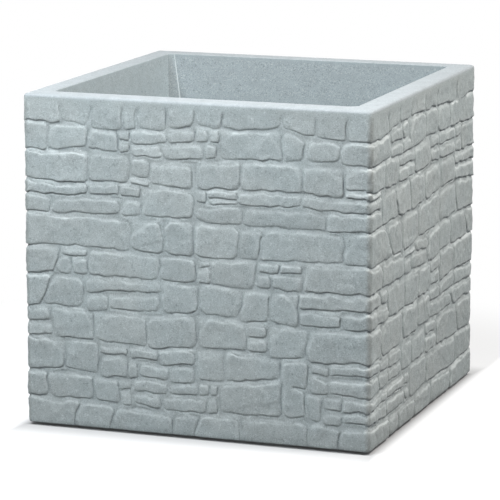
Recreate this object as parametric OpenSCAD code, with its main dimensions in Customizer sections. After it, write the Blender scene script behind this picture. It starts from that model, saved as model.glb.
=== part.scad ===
// Square garden planter with dry-stone walls, moulded in one double-walled piece,
// with four lift-out drain plugs, four push-in feet and a plugged air vent.
// Millimetres, +Z up, the origin on the ground below the middle of the planter.

/* [Body] */
// Width over the stonework, left to right
body_w = 400; // [320:10:600]
// Depth over the stonework, front to back
body_d = 400; // [320:10:600]
// Height from the underside of the base to the top of the rim
body_h = 367; // [260:1:600]
// Thickness of the moulded skin
skin = 4; // [3:0.5:6]
// Radius of the four upright outer corners
corner_r = 7; // [7:1:14]
// Rounding of the outer edges at the rim and at the base
edge_r = 5; // [3:0.5:6]

/* [Planting space] */
// Width of the rim, from the outer face to the planting space
rim_w = 25; // [20:1:40]
// Rounding of the inner edge of the rim
lip_r = 4; // [2:0.5:6]
// Height of the planting floor over the underside of the base
floor_h = 47; // [35:1:90]
// How far each inner wall leans in from the rim to the planting floor
wall_lean = 26; // [10:1:40]
// Radius of the inner corners at the rim
inner_r_top = 9; // [7:1:20]
// Radius of the inner corners at the planting floor
inner_r_floor = 42; // [24:1:60]
// Rounding between the inner walls and the planting floor
floor_r = 12; // [6:1:20]

/* [Stonework] */
// How far the stones stand out from the joints
relief = 3; // [2:0.5:5]
// Width of the joints between stones at their bottom
joint_w = 1.2; // [1:0.2:3]
// Width of the sloped edge round each stone
bevel = 2; // [1:0.2:4]
// How much the corners of the larger stones are cut off
stone_cut = 4; // [2:0.5:6]
// How far the flattest stones lie behind the proudest ones
stone_vary = 1; // [0:0.1:1.5]
// How much tighter the joints run round the outer corners and edges than the stones do
joint_ease = 1; // [0.5:0.5:3]
// Height of the plain band below the rim
band_h = 17; // [12:1:30]

/* [Drains] */
// Bore of the four drains
drain_d = 26; // [18:1:36]
// Distance of the drains from the inner walls at the planting floor
drain_inset = 64; // [48:1:80]
// Diameter of the plug heads
plug_head_d = 40; // [34:1:48]
// Thickness of the plug heads
plug_head_t = 3; // [2:0.5:5]
// Running clearance of the plugs in the drains, on the radius
plug_clear = 0.05; // [0.02:0.01:0.1]
// Length of the plug stems below the planting floor
plug_stem = 30; // [15:1:32]
// Wall of the hollow plug stems
plug_wall = 2.5; // [2:0.5:4]
// Height of the grip on a plug
grip_h = 9; // [6:1:16]
// Width of the grip on a plug
grip_w = 26; // [16:1:32]
// Thickness of the grip on a plug
grip_t = 4; // [3:0.5:6]
// Thickness of the sealing washers
seal_t = 2; // [1:0.5:3]

/* [Feet] */
// Height of the feet below the base
foot_h = 3; // [2:0.5:8]
// Diameter of the feet
foot_d = 36; // [24:1:50]
// Bevel round the lower edge of each foot
foot_bevel = 1; // [0.5:0.25:1.5]
// Distance of the middle of each foot from the outer faces
foot_inset = 45; // [35:1:60]
// Diameter of the push-in stud on each foot
stud_d = 10; // [8:0.5:14]
// Length of the push-in stud on each foot
stud_l = 8; // [6:0.5:12]
// Clearance of the studs in their sockets, on the radius
stud_clear = 0.1; // [0.05:0.05:0.3]

/* [Air vent] */
// Diameter of the air vent in the base
vent_d = 8; // [5:0.5:12]
// Diameter of the head of the vent plug
vent_head_d = 14; // [13:0.5:20]
// Thickness of the head of the vent plug
vent_head_t = 1.5; // [1:0.5:2]
// Clearance of the vent plug, on the radius
vent_clear = 0.1; // [0.05:0.05:0.3]

/* [Hidden] */

// Levels over the ground
base_z = foot_h;
top_z = base_z + body_h;
floor_z = base_z + floor_h;

// Half sizes of the joint level with the radii of its corners and edges, and half sizes of
// the planting space at the rim
core_x = body_w / 2 - relief;
core_y = body_d / 2 - relief;
core_corner_r = corner_r - joint_ease;
core_edge_r = edge_r - joint_ease;
inner_x = body_w / 2 - rim_w;
inner_y = body_d / 2 - rim_w;

// Colours of the moulded stone effect, the plugs and the rubber
stone_colour = [0.66, 0.72, 0.74];
plug_colour = [0.42, 0.46, 0.48];
rubber_colour = [0.13, 0.13, 0.14];

// Steps of each outer corner and of each corner inside
outer_steps = 2;
inner_steps = 5;
// Angle of each step of the rounded edges
edge_step = 45;
// Facets of the small turned pieces
turned_fn = 64;

// How far a solid reaches past the face that it cuts or joins
over = 1;

// The four places of the drains and of the feet, by the name of the corner
CORNERS = [["front_left", -1, -1], ["front_right", 1, -1], ["back_left", -1, 1], ["back_right", 1, 1]];
function corner(name) = [for (c = CORNERS) if (c[0] == name) [c[1], c[2]]][0];
function drain_at(name) = [
    corner(name)[0] * (inner_x - wall_lean - drain_inset),
    corner(name)[1] * (inner_y - wall_lean - drain_inset)
];
function foot_at(name) = [
    corner(name)[0] * (body_w / 2 - foot_inset),
    corner(name)[1] * (body_d / 2 - foot_inset)
];

// The stonework was set out on a wall this long, between these heights over the ground
SET_OUT_W = 400;
SET_OUT_Z0 = 3;
SET_OUT_Z1 = 360;

// The rows of stones. Each row is a list of upright joints from left to right, and a stone fills
// the space between two of them: [place along the wall, its lower end, its upper end, and how far
// the upper end stands to the right of the lower one where the joint leans].
FRONT_ROWS = [
    // Top course
    [[0, 330, 352], [44, 331, 352], [81, 327, 352], [119, 325, 352], [133, 325, 352], [170, 327, 352],
     [200, 333, 352], [233, 332, 352], [299, 336, 352], [336, 328, 352], [371, 326, 352], [400, 327, 352]],
    // Second course, with thin stones in its middle
    [[0, 301, 330], [29, 301, 330], [74, 304, 328, 5], [112, 303, 326]],
    [[112, 314, 325], [125, 314, 325]],
    [[112, 302, 313], [125, 302, 312]],
    [[125, 311, 325], [170, 313, 326], [203, 316, 331], [217, 317, 331], [229, 317, 332]],
    [[125, 300, 310], [162, 297, 312], [213, 298, 315], [226, 302, 315]],
    [[229, 301, 332], [301, 302, 334], [327, 303, 327], [365, 302, 325], [400, 302, 325]],
    // Third course
    [[0, 269, 299], [78, 269, 300], [125, 269, 300]],
    [[125, 268, 275], [149, 268, 274]],
    [[125, 277, 298], [149, 276, 297]],
    [[149, 269, 295], [200, 267, 292]],
    [[204, 268, 296], [254, 270, 300, 1], [323, 270, 300], [369, 269, 299]],
    [[369, 277, 300], [400, 277, 301]],
    [[369, 269, 275], [400, 269, 275]],
    // Fourth course, thin
    [[0, 254, 267], [78, 255, 267], [114, 255, 267], [140, 255, 267]],
    [[140, 235, 267], [199, 236, 267]],
    [[201, 254, 268], [215, 255, 268]],
    [[215, 260, 268], [250, 258, 268]],
    [[215, 254, 259], [250, 253, 257]],
    [[250, 253, 268], [322, 255, 268], [400, 254, 267]],
    // Fifth course
    [[0, 234, 252], [33, 233, 252], [116, 234, 252], [140, 236, 253]],
    [[200, 234, 252], [256, 232, 252], [349, 233, 252], [400, 234, 252]],
    // Sixth course
    [[0, 199, 232], [127, 198, 231], [165, 197, 233], [200, 196, 234], [252, 197, 231],
     [274, 197, 230, 3], [369, 199, 231], [400, 197, 232]],
    // Seventh course, with thin stones in its upper half
    [[0, 169, 197], [36, 169, 197, 6]],
    [[43, 187, 196], [77, 187, 196]],
    [[38, 168, 185], [58, 168, 186], [78, 168, 186]],
    [[78, 168, 197], [161, 169, 195], [203, 169, 194]],
    [[204, 185, 193], [219, 186, 194]],
    [[204, 168, 184], [219, 168, 185]],
    [[219, 167, 195], [269, 166, 196, 3]],
    [[273, 185, 195], [296, 184, 195], [322, 185, 196]],
    [[271, 167, 183], [286, 167, 183], [324, 166, 183]],
    [[324, 168, 197], [400, 168, 196]],
    // Eighth course
    [[0, 133, 167], [18, 133, 167, 14], [71, 132, 166]],
    [[73, 150, 166], [161, 155, 167]],
    [[73, 130, 148], [99, 131, 148], [161, 134, 153]],
    [[161, 133, 168], [204, 134, 168], [251, 132, 166, 6], [283, 131, 164, 4], [318, 130, 165]],
    [[318, 149, 166], [400, 152, 167]],
    [[318, 130, 147], [367, 131, 147], [400, 131, 150]],
    // Ninth course
    [[0, 116, 131], [33, 117, 131]],
    [[0, 100, 114], [33, 101, 115]],
    [[33, 99, 131], [82, 98, 129], [143, 95, 129], [203, 98, 132], [258, 100, 131]],
    [[258, 114, 129], [282, 115, 129]],
    [[258, 101, 112], [282, 100, 113]],
    [[283, 96, 128], [329, 95, 128], [400, 94, 129]],
    // Tenth course, with thin stones in its middle
    [[0, 63, 98], [47, 65, 97], [88, 62, 96]],
    [[89, 86, 95], [121, 85, 93]],
    [[89, 60, 84], [121, 60, 83]],
    [[122, 81, 93], [157, 82, 94]],
    [[157, 78, 95], [201, 80, 97]],
    [[121, 60, 77], [134, 60, 77], [172, 60, 77], [201, 62, 79]],
    [[202, 65, 98], [235, 66, 98], [298, 72, 97]],
    [[299, 65, 94], [331, 63, 93]],
    [[332, 81, 93], [354, 81, 92], [400, 82, 91]],
    [[332, 60, 79], [353, 60, 76], [400, 59, 77]],
    // Eleventh course, with thin stones in its middle
    [[0, 33, 61], [29, 33, 61], [80, 32, 60], [113, 29, 58]],
    [[113, 46, 58], [127, 46, 58]],
    [[113, 28, 44], [127, 29, 44]],
    [[128, 45, 58], [170, 46, 59], [204, 48, 62], [217, 48, 63], [229, 48, 63]],
    [[128, 32, 43], [162, 29, 44], [214, 28, 46], [227, 29, 46]],
    [[229, 31, 64], [300, 33, 70], [328, 33, 61], [346, 29, 59]],
    [[346, 45, 58], [369, 44, 57], [400, 45, 56]],
    [[346, 28, 42], [369, 28, 42]],
    [[369, 32, 43], [400, 33, 43]],
    // Bottom course
    [[0, 6, 31], [59, 6, 31, 5], [101, 6, 27, 6], [175, 6, 25], [202, 6, 27, 4], [253, 6, 28],
     [329, 6, 30], [364, 6, 26, 4], [400, 6, 26]]
];
SIDE_ROWS = [
    // Top course
    [[0, 327, 352], [66, 327, 352], [103, 333, 352], [145, 334, 352], [200, 334, 352],
     [247, 332, 352], [325, 328, 352], [400, 330, 352]],
    // Second course
    [[0, 302, 325], [72, 301, 327]],
    [[72, 315, 327], [116, 315, 332], [137, 315, 333]],
    [[72, 301, 313], [116, 300, 313], [142, 300, 313]],
    [[140, 300, 333], [202, 302, 333], [249, 304, 332], [300, 301, 330], [400, 301, 330]],
    // Third course
    [[0, 277, 301], [53, 270, 300], [102, 269, 300]],
    [[0, 268, 275], [36, 267, 271]],
    [[102, 287, 299], [162, 286, 299]],
    [[102, 270, 285], [162, 270, 284]],
    [[162, 269, 299], [223, 274, 300]],
    [[223, 289, 301], [256, 289, 303], [320, 287, 300], [348, 287, 300]],
    [[223, 274, 287], [258, 272, 287], [320, 272, 285], [348, 270, 285]],
    [[348, 270, 299], [400, 269, 299]],
    // Fourth and fifth course
    [[0, 254, 267], [38, 254, 266]],
    [[0, 234, 252], [43, 234, 252]],
    [[43, 234, 266], [102, 235, 267, -12], [152, 233, 268, -8], [203, 235, 267],
     [263, 239, 270], [320, 239, 270]],
    [[320, 257, 269], [400, 254, 267]],
    [[320, 238, 254], [400, 234, 252]],
    // Sixth course
    [[0, 197, 232], [78, 195, 232, -22], [118, 193, 232], [178, 197, 231], [262, 201, 237],
     [332, 201, 236, -7], [400, 199, 232]],
    // Seventh course, with thin stones in its upper half
    [[0, 168, 196], [47, 168, 193], [124, 167, 190]],
    [[120, 186, 192], [168, 185, 192]],
    [[125, 166, 184], [150, 166, 184], [216, 164, 181]],
    [[168, 184, 197], [216, 182, 195]],
    [[217, 164, 195], [262, 168, 200], [308, 169, 200], [376, 167, 199, -12], [400, 169, 197]],
    // Eighth course
    [[0, 152, 167], [42, 152, 167, -10]],
    [[0, 131, 150], [66, 133, 146]],
    [[42, 150, 166], [66, 149, 166]],
    [[66, 132, 166], [130, 131, 164], [179, 131, 162], [226, 131, 162]],
    [[226, 151, 163], [263, 151, 166]],
    [[226, 135, 149], [263, 134, 150]],
    [[263, 134, 167], [320, 137, 168], [400, 133, 167]],
    // Ninth course
    [[0, 94, 129], [44, 95, 130], [120, 96, 130], [180, 98, 129], [223, 99, 129]],
    [[223, 118, 131], [264, 118, 132], [323, 118, 136], [400, 116, 131]],
    [[223, 99, 116], [320, 98, 116, -12], [400, 100, 114]],
    // Tenth course
    [[0, 82, 91], [37, 80, 92], [70, 78, 93], [115, 77, 94]],
    [[0, 59, 77], [35, 60, 77], [69, 61, 76], [115, 63, 76]],
    [[116, 62, 94], [155, 63, 92], [208, 64, 97]],
    [[208, 83, 97], [252, 82, 97]],
    [[208, 64, 81], [252, 64, 80]],
    [[253, 63, 96], [340, 61, 95, -7], [400, 63, 98]],
    // Eleventh course
    [[0, 45, 56], [62, 46, 56], [128, 46, 58], [148, 46, 60]],
    [[0, 33, 43], [62, 26, 43], [128, 28, 43], [148, 28, 43]],
    [[149, 28, 62], [213, 30, 62], [330, 28, 60], [400, 33, 61]],
    // Bottom course
    [[0, 6, 26], [73, 6, 22], [110, 6, 23], [170, 6, 26], [233, 6, 27], [312, 6, 26], [400, 6, 31]]
];

// Stones larger than this both ways have their corners cut off
CUT_FROM = 34;
// How far the foot of a stone reaches into the wall behind it, so that the stones at a corner
// also stand on its rounded joint level
stone_foot = core_corner_r / 2;

// Draws one stone from the corners of its space, with its foot in the wall behind it.
// Its face lies up to vary behind the proudest stones, and slopes a little.
module stone(p, seed, vary, wall_l) {
    r = rands(-1, 1, 3, seed);
    wide = min(p[1][0] - p[0][0], p[2][0] - p[3][0]);
    tall = min(p[3][1] - p[0][1], p[2][1] - p[1][1]);
    mid = (p[0] + p[1] + p[2] + p[3]) / 4;
    cut = min(wide, tall) > CUT_FROM ? stone_cut : 0;
    slope = min(bevel, (min(wide, tall) - joint_w) / 4);
    foot = ring(p, joint_w / 2, cut);
    face = ring(p, joint_w / 2 + slope, cut);
    n = len(foot);
    slant = vary / 2 * [r[1] / wide, r[2] / tall];
    back = vary * (3 + r[0]) / 4;
    points = concat(
        [for (q = foot) [q[0] - wall_l / 2, stone_foot, q[1]]],
        [for (q = foot) [q[0] - wall_l / 2, 0, q[1]]],
        [for (q = face) [q[0] - wall_l / 2, back + slant * (q - mid) - relief, q[1]]]
    );
    faces = concat(
        [[for (i = [0 : n - 1]) i]],
        [[for (i = [n - 1 : -1 : 0]) 2 * n + i]],
        [for (k = [0, n], i = [0 : n - 1]) [k + i, k + n + i, k + n + (i + 1) % n]],
        [for (k = [0, n], i = [0 : n - 1]) [k + i, k + n + (i + 1) % n, k + (i + 1) % n]]
    );
    polyhedron(points, faces, convexity = 4);
}

// The outline of a stone, drawn in from its space, with its corners cut where cut is over 0
function ring(p, inset, cut) =
    let (q = [
        p[0] + [inset, inset],
        p[1] + [-inset, inset],
        p[2] + [-inset, -inset],
        p[3] + [inset, -inset]
    ])
    cut == 0 ? q : [
        for (i = [0 : 3], side = [-1, 1])
            let (to = q[(i + side + 4) % 4] - q[i])
            q[i] + to / norm(to) * cut
    ];

// The corners of the space between two upright joints, on a wall of the length wall_l.
// At the ends of a wall the space runs on past the corner of the planter.
function space_between(a, b, wall_l) =
    let (
        before = a[0] == 0 ? -stone_cut - bevel - over : 0,
        after = b[0] == SET_OUT_W ? stone_cut + bevel + over : 0
    )
    [
        wall_point(a[0], a[1], wall_l) + [before, 0],
        wall_point(b[0], b[1], wall_l) + [after, 0],
        wall_point(b[0] + lean(b), b[2], wall_l) + [after, 0],
        wall_point(a[0] + lean(a), a[2], wall_l) + [before, 0]
    ];
function lean(joint) = len(joint) > 3 ? joint[3] : 0;
function wall_point(u, z, wall_l) = [
    u * wall_l / SET_OUT_W,
    base_z + (z - SET_OUT_Z0) * body_h / (SET_OUT_Z1 - SET_OUT_Z0)
];

// The stones of one wall, standing on the joint level
module stones(rows, wall_l, seed) {
    for (k = [0 : len(rows) - 1], i = [0 : len(rows[k]) - 2]) {
        a = rows[k][i];
        b = rows[k][i + 1];
        at_corner = a[0] == 0 || b[0] == SET_OUT_W;
        stone(space_between(a, b, wall_l), seed + 20 * k + i, at_corner ? 0 : stone_vary, wall_l);
    }
}

// A block with rounded upright corners, and with rounded edges at its top and bottom
module rounded_block(half_x, half_y, z0, z1, corner, edge) {
    levels = concat(
        [for (a = [90 : -edge_step : 0]) [edge * (1 - cos(a)), z0 + edge - edge * sin(a)]],
        [for (a = [0 : edge_step : 90]) [edge * (1 - cos(a)), z1 - edge + edge * sin(a)]]
    );
    loft([for (level = levels) rounded_ring(half_x, half_y, corner, level[0], level[1], outer_steps)]);
}

// A rounded rectangle at the height z, drawn in by inset, seen anticlockwise from above
function rounded_ring(half_x, half_y, r, inset, z, steps) = [
    for (k = [0 : 3], i = [0 : steps])
        let (
            turn = 90 * (k + i / steps),
            sx = k == 0 || k == 3 ? 1 : -1,
            sy = k < 2 ? 1 : -1
        )
        [
            sx * (half_x - r) + (r - inset) * cos(turn),
            sy * (half_y - r) + (r - inset) * sin(turn),
            z
        ]
];

// A solid through rings of the same number of points, from the lowest to the highest
module loft(rings) {
    n = len(rings[0]);
    last = n * (len(rings) - 1);
    polyhedron(
        [for (ring = rings, point = ring) point],
        concat(
            [[for (i = [0 : n - 1]) i]],
            [[for (i = [n - 1 : -1 : 0]) last + i]],
            [for (k = [0 : n : last - n], i = [0 : n - 1]) [k + i, k + n + i, k + n + (i + 1) % n]],
            [for (k = [0 : n : last - n], i = [0 : n - 1]) [k + i, k + n + (i + 1) % n, k + (i + 1) % n]]
        ),
        convexity = 4
    );
}

// The outside of the planter: the joint level, the stones on it and the plain band at the rim
module stone_block() {
    resize([body_w, body_d, body_h])
        intersection() {
            rounded_block(body_w / 2, body_d / 2, base_z, top_z, corner_r, edge_r);
            union() {
                rounded_block(core_x, core_y, base_z, top_z, core_corner_r, core_edge_r);
                translate([-body_w / 2, -body_d / 2, top_z - band_h])
                    cube([body_w, body_d, band_h]);
                for (k = [0 : 3]) {
                    along_w = k % 2 == 0;
                    rotate([0, 0, 90 * k])
                        translate([0, along_w ? -core_y : -core_x, 0])
                            stones(along_w ? FRONT_ROWS : SIDE_ROWS, along_w ? body_w : body_d, 1000 * k);
                }
            }
        }
}

// The planting space, from its floor to past the rim, with the rounded lip at the rim
module planting_space() {
    loft(concat(
        tub_rings(0),
        [for (a = [0 : edge_step : 90]) tub_ring(top_z - lip_r + lip_r * sin(a), lip_r * (1 - cos(a)), 0)],
        [tub_ring(top_z + over, lip_r, 0)]
    ));
}

// The rings of a space that narrows down to the planting floor and is grown by grow on all
// sides, with rounded lower edges
function tub_rings(grow) = [
    for (a = [90 : -edge_step : 0])
        let (round = floor_r + grow)
        tub_ring(floor_z - grow + round - round * sin(a), grow, round * (1 - cos(a)))
];

// One ring of the planting space at the height z, grown by grow and drawn in by inset
function tub_ring(z, grow, inset) =
    let (
        down = min((top_z - z) / (top_z - floor_z), 1),
        r = inner_r_top + (inner_r_floor - inner_r_top) * down
    )
    rounded_ring(
        inner_x - wall_lean * down + grow,
        inner_y - wall_lean * down + grow,
        r + grow,
        inset,
        z,
        inner_steps
    );

// The whole moulding: walls, rim, planting space, drain tubes and sockets
module body() {
    color(stone_colour)
        difference() {
            stone_block();
            planting_space();
            hollow();
            for (c = CORNERS) {
                at_drain(c[0])
                    cylinder(d = drain_d, h = floor_h + 2 * over, $fn = turned_fn);
                at_foot(c[0])
                    cylinder(r = stud_d / 2 + stud_clear, h = stud_l + over, $fn = turned_fn);
            }
            translate([0, 0, base_z - over])
                cylinder(d = vent_d, h = skin + 2 * over, $fn = turned_fn);
        }
}

// The closed space between the outer skin and the planting space
module hollow() {
    half_x = core_x - skin;
    half_y = core_y - skin;
    difference() {
        translate([0, 0, base_z + skin])
            linear_extrude(body_h - 2 * skin)
                polygon([for (q = rounded_ring(half_x, half_y, corner_r, 0, 0, outer_steps)) [q[0], q[1]]]);
        loft(concat(tub_rings(skin), [tub_ring(top_z + over, skin, 0)]));
        for (c = CORNERS) {
            at_drain(c[0])
                cylinder(d = drain_d + 2 * skin, h = floor_h + 2 * over, $fn = turned_fn);
            at_foot(c[0])
                cylinder(d = stud_d + 2 * skin, h = over + stud_l + skin, $fn = turned_fn);
        }
    }
}

// Moves its pieces to the start of a drain, just below the base
module at_drain(name) {
    translate([drain_at(name)[0], drain_at(name)[1], base_z - over])
        children();
}

// Moves its pieces to the start of a foot's socket, just below the base
module at_foot(name) {
    translate([foot_at(name)[0], foot_at(name)[1], base_z - over])
        children();
}

// A lift-out plug: a head on its washer, a grip on top and a stem that is hollow from below
module drain_plug(name) {
    stem_d = drain_d - 2 * plug_clear;
    stem_l = seal_t + plug_stem;
    color(plug_colour)
        translate([drain_at(name)[0], drain_at(name)[1], floor_z + seal_t])
            difference() {
                union() {
                    cylinder(d = plug_head_d, h = plug_head_t, $fn = turned_fn);
                    translate([0, 0, -stem_l])
                        cylinder(d = stem_d, h = stem_l, $fn = turned_fn);
                    translate([-grip_w / 2, -grip_t / 2, plug_head_t])
                        cube([grip_w, grip_t, grip_h]);
                }
                translate([0, 0, -stem_l - over])
                    cylinder(d = stem_d - 2 * plug_wall, h = stem_l + over, $fn = turned_fn);
            }
}

// The flat washer between a plug's head and the planting floor
module plug_seal(name) {
    color(rubber_colour)
        translate([drain_at(name)[0], drain_at(name)[1], floor_z])
            difference() {
                cylinder(d = plug_head_d, h = seal_t, $fn = turned_fn);
                translate([0, 0, -over])
                    cylinder(d = drain_d, h = seal_t + 2 * over, $fn = turned_fn);
            }
}

// A rubber pad with the stud that pushes it into the base
module foot(name) {
    color(rubber_colour)
        translate([foot_at(name)[0], foot_at(name)[1], 0]) {
            cylinder(d1 = foot_d - 2 * foot_bevel, d2 = foot_d, h = foot_bevel, $fn = turned_fn);
            translate([0, 0, foot_bevel])
                cylinder(d = foot_d, h = foot_h - foot_bevel, $fn = turned_fn);
            translate([0, 0, foot_h])
                cylinder(d = stud_d, h = stud_l, $fn = turned_fn);
        }
}

// The plug that closes the moulding's air vent from below
module vent_plug() {
    color(plug_colour)
        translate([0, 0, base_z - vent_head_t]) {
            cylinder(d = vent_head_d, h = vent_head_t, $fn = turned_fn);
            translate([0, 0, vent_head_t])
                cylinder(r = vent_d / 2 - vent_clear, h = skin, $fn = turned_fn);
        }
}

body();
drain_plug("front_left");  // drain_plug_front_left
drain_plug("front_right");  // drain_plug_front_right
drain_plug("back_left");  // drain_plug_back_left
drain_plug("back_right");  // drain_plug_back_right
plug_seal("front_left");  // plug_seal_front_left
plug_seal("front_right");  // plug_seal_front_right
plug_seal("back_left");  // plug_seal_back_left
plug_seal("back_right");  // plug_seal_back_right
foot("front_left");  // foot_front_left
foot("front_right");  // foot_front_right
foot("back_left");  // foot_back_left
foot("back_right");  // foot_back_right
vent_plug();
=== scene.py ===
"""A square garden planter, moulded in stone-effect plastic with the relief of a dry-stone wall.

The file is laid out as a Blender add-on. Run as a script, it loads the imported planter, builds the
body with its stonework, the drain plugs, their washers, the feet and the vent plug over it, and sets
up the studio and the camera.
"""

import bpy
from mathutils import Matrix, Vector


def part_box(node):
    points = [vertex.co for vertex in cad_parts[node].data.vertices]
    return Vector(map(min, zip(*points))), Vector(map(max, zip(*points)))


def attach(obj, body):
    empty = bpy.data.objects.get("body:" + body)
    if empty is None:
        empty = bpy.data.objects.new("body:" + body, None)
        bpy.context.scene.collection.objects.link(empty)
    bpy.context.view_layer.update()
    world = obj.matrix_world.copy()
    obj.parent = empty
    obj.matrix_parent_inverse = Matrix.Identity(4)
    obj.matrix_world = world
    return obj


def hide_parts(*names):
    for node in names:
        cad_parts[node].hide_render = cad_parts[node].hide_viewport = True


bl_info = {
    "name": "Dry-Stone Planter",
    "version": (1, 0, 0),
    "blender": (4, 5, 0),
    "location": "3D View > Sidebar > Planter",
    "description": "A square moulded planter with dry-stone walls, drain plugs and feet",
    "category": "Object",
}

import math
from collections import deque

import bpy
import numpy as np
from bpy.props import FloatProperty, FloatVectorProperty, IntProperty, PointerProperty
from mathutils import Vector
from mathutils.bvhtree import BVHTree
from mathutils.geometry import delaunay_2d_cdt

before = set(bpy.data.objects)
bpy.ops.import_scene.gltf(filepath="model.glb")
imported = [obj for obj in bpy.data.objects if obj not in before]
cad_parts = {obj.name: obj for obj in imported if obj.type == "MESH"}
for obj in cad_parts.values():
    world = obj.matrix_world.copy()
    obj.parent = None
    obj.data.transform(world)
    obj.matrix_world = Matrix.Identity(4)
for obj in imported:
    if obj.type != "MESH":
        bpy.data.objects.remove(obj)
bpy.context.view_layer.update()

MM = 0.001
CORNERS = ("front_left", "front_right", "back_left", "back_right")

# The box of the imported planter, and the boxes of its body, of a plug, a washer and a foot
BODY_LOW, BODY_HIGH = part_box("body")
PLUG_LOW, PLUG_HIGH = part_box("drain_plug_front_left")
SEAL_LOW, SEAL_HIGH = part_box("plug_seal_front_left")
FOOT_LOW, FOOT_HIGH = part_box("foot_front_left")
VENT_LOW, VENT_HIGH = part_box("vent_plug")
HALF_X = BODY_HIGH.x
HALF_Y = BODY_HIGH.y
BASE_Z = BODY_LOW.z
TOP_Z = BODY_HIGH.z
FLOOR_Z = SEAL_LOW.z

# Painted shade for the planting floor and the underside, for the inner walls at the front and back
# and at the sides, and for the slanting corners between them. The stones' own shades run from -1 to 1.
PAINTED_INSIDE_SHADE = -6.3
PAINTED_WALL_SHADES = (-8.6, -3.8)
PAINTED_CORNER_SHADE = -8.0

# How much lighter one more of shade is, and how bright the painted highlight on an inner crease is
SHADE_STEP = 0.045
CREASE_HIGHLIGHT = 0.7

# Points on each side and corner of a ring of the planting space. A corner is round at a flatness of 1
# and straight at 2.
SIDE_PARTS = 20
CORNER_PARTS = 10
CORNER_FLATNESS = 1.5

# How many rings of the planting space have no painted shade at its top, and the floor's at its end
RIM_RINGS = 4
FLOOR_RINGS = 4

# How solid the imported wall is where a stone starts, and how many points the stones' numbers spread
STONE_LEVEL = 0.42
SPREAD_ROUNDS = 4

# The rows of the random numbers that each stone draws. The first row isn't used, and each of the
# cuts has two rows.
LEAN_ALONG, LEAN_UP, RIDGE_TURN, RIDGE_PLACE, RIDGE_HEIGHT = range(1, 6)
SPLIT_TURN, SPLIT_PLACE, SPLIT_CHANCE = range(6, 9)
CUTS = 8
CUT_TURN = 9
CUT_WIDTH = CUT_TURN + CUTS
MEETING, SLOPE_BELOW, SLOPE_BEYOND, LIGHTNESS = range(CUT_WIDTH + CUTS, CUT_WIDTH + CUTS + 4)
DRAWS = LIGHTNESS + 1

# Angles from which an edge is sharp, on the body and on the small pieces
BODY_SHARP = math.radians(62)
PART_SHARP = math.radians(50)

# Bumps to a metre of the two sizes of flecks
FINE_FLECKS = 850.0
COARSE_FLECKS = 420.0

# The colours of the lamps, and the floor's colour beside the planter as the camera sees it, kept dim
# for a painted contact shadow
NEUTRAL = (1.0, 1.0, 1.0)
COOL = (0.96, 0.99, 1.0)
WARM = (1.0, 0.945, 0.885)
SEEN_FLOOR = (0.35, 0.36, 0.375)

# The width of the camera's film in millimetres
FILM_W = 36.0


def srgb(red, green, blue):
    """The linear colour of a colour given from 0 to 255 as a screen shows it"""
    linear = []
    for value in (red, green, blue):
        part = value / 255
        linear.append(part / 12.92 if part <= 0.04045 else ((part + 0.055) / 1.055) ** 2.4)
    return tuple(linear)


def length(name, description, default, low=0.0, high=1.0):
    """A size that the user can change, in metres"""
    return FloatProperty(
        name=name,
        description=description,
        default=default,
        min=low,
        max=high,
        precision=5,
        subtype="DISTANCE",
        unit="LENGTH",
    )


def watts(name, which, default):
    """The strength of a lamp"""
    return FloatProperty(
        name=name,
        description="Strength of the lamp " + which + ", in watts",
        default=default,
        min=0.0,
        unit="POWER",
    )


def share(name, description, default):
    """An amount between none and all"""
    return FloatProperty(
        name=name,
        description=description,
        default=default,
        min=0.0,
        max=1.0,
        subtype="FACTOR",
    )


def tint(name, description, red, green, blue):
    """A colour that the user can change"""
    return FloatVectorProperty(
        name=name,
        description=description,
        default=srgb(red, green, blue),
        min=0.0,
        max=1.0,
        size=3,
        subtype="COLOR",
    )


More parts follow.
